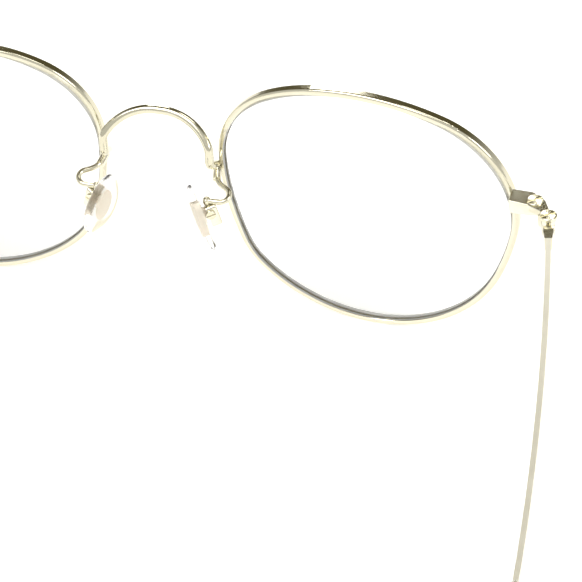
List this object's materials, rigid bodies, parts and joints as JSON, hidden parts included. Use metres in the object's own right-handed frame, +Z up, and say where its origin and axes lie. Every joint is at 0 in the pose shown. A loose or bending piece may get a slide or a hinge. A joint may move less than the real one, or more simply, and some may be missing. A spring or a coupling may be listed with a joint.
{
  "type": "eyeglasses",
  "caption": "Thin wire eyeglasses with rounded rims, a saddle bridge, clear lenses, screw-on silicone nose pads and folding temples that end in sleeved ear tips.",
  "frame": {"origin": "centre of the object's footprint, on the surface that the rims and the ear tips stand on", "axes": "+X to the wearer's left, -Y out through the lenses, +Y back to the ear tips, +Z up"},
  "size_m": [0.151, 0.1328, 0.0444],
  "materials": {
    "frame_gold": "polished pale gold plate",
    "temple_gold": "polished pale gold plate on spring strip",
    "screw_gold": "bright turned heads",
    "pad_core_metal": "bright stamped plate",
    "lens_clear": "clear, polished",
    "pad_silicone": "clear silicone, satin",
    "tip_plastic": "translucent pale cream, glossy"
  },
  "bodies": {
    "front": {"bridge": "frame_gold", "rim_right": "frame_gold", "lens_right": "lens_clear", "pad_arm_right": "frame_gold", "pad_box_right": "frame_gold", "pad_screw_right": "screw_gold", "endpiece_upper_right": "frame_gold", "endpiece_lower_right": "frame_gold", "rim_screw_right": "screw_gold", "hinge_screw_right": "screw_gold", "rim_left": "frame_gold", "lens_left": "lens_clear", "pad_arm_left": "frame_gold", "pad_box_left": "frame_gold", "pad_screw_left": "screw_gold", "endpiece_upper_left": "frame_gold", "endpiece_lower_left": "frame_gold", "rim_screw_left": "screw_gold", "hinge_screw_left": "screw_gold"},
    "temple_arm_right": {"temple_hinge_right": "frame_gold", "temple_right": "temple_gold", "temple_tip_right": "tip_plastic"},
    "pad_right": {"nose_pad_right": "pad_silicone", "pad_core_right": "pad_core_metal"},
    "temple_arm_left": {"temple_hinge_left": "frame_gold", "temple_left": "temple_gold", "temple_tip_left": "tip_plastic"},
    "pad_left": {"nose_pad_left": "pad_silicone", "pad_core_left": "pad_core_metal"}
  },
  "joints": [
    {"name": "temple_right_fold", "type": "hinge", "parent": "front", "child": "temple_arm_right", "pos_m": [-0.0622, -0.05519, 0.03043], "axis": [0, 0, -1], "range_deg": [0, 96]},
    {"name": "temple_left_fold", "type": "hinge", "parent": "front", "child": "temple_arm_left", "pos_m": [0.0622, -0.05519, 0.03043], "axis": [0, 0, 1], "range_deg": [0, 91]},
    {"name": "pad_right_rock", "type": "hinge", "parent": "front", "child": "pad_right", "pos_m": [-0.00905, -0.05809, 0.02186], "axis": [-0.4535, 0.8829, 0.1215], "range_deg": [-6, 6]},
    {"name": "pad_left_rock", "type": "hinge", "parent": "front", "child": "pad_left", "pos_m": [0.00905, -0.05809, 0.02186], "axis": [0.4535, 0.8829, 0.1215], "range_deg": [-6, 6]}
  ]
}
